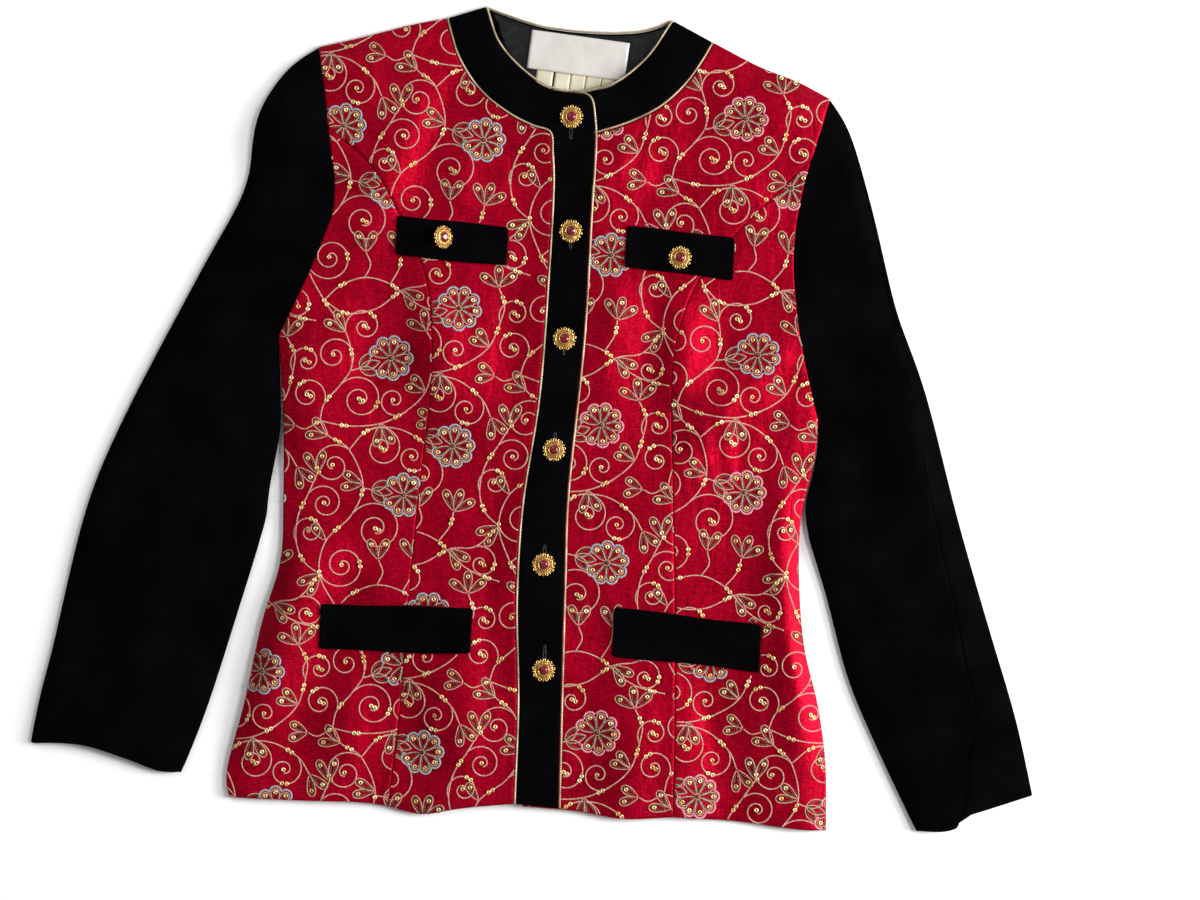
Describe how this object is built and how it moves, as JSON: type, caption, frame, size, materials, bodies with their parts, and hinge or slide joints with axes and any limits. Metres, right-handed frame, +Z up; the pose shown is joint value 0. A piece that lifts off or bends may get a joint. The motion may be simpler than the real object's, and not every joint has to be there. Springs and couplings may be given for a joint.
{
  "type": "embroidered evening blazer laid flat",
  "caption": "Collarless button-front blazer laid out flat, in embroidered red silk with black velvet sleeves, band and pocket flaps and gold piping.",
  "frame": {"origin": "centre of the laid-out blazer's bounding box, on the surface that it lies on", "axes": "+Z up from the surface, +X to the wearer's left sleeve, +Y from the hem to the neck"},
  "size_m": [0.804, 0.6488, 0.0235],
  "materials": {
    "red_silk": "slubbed red silk with chain-stitch vines and sequins",
    "black_velvet": "deep black velvet with a short pile",
    "black_satin": "black satin lining",
    "label_satin": "silver-white woven satin, bare",
    "care_tape": "cream satin tape, bare",
    "gold_cord": "twisted pale gold cord",
    "button_gold": "gold filigree with a dark red faceted stone"
  },
  "bodies": {
    "root": {"back": "red_silk", "front_right_side": "red_silk", "front_right_centre": "red_silk", "front_left_centre": "red_silk", "front_left_side": "red_silk", "band_right": "black_velvet", "neck_band_left": "black_velvet", "neck_band_back": "black_velvet", "sleeve_right_upper": "black_velvet", "sleeve_right_under": "black_velvet", "sleeve_left_upper": "black_velvet", "sleeve_left_under": "black_velvet", "flap_breast_right": "black_velvet", "flap_breast_left": "black_velvet", "flap_hip_right": "black_velvet", "flap_hip_left": "black_velvet", "lining_back_neck": "black_satin", "label": "label_satin", "care_strips": "care_tape", "piping_band_seam": "gold_cord", "piping_front_edge": "gold_cord", "piping_neck_seam_left": "gold_cord", "piping_neck_edge_left": "gold_cord", "piping_neck_edge_back": "gold_cord", "button_front_1": "button_gold", "button_front_2": "button_gold", "button_front_3": "button_gold", "button_front_4": "button_gold", "button_front_5": "button_gold", "button_front_6": "button_gold", "button_breast_right": "button_gold", "button_breast_left": "button_gold"}
  },
  "joints": []
}
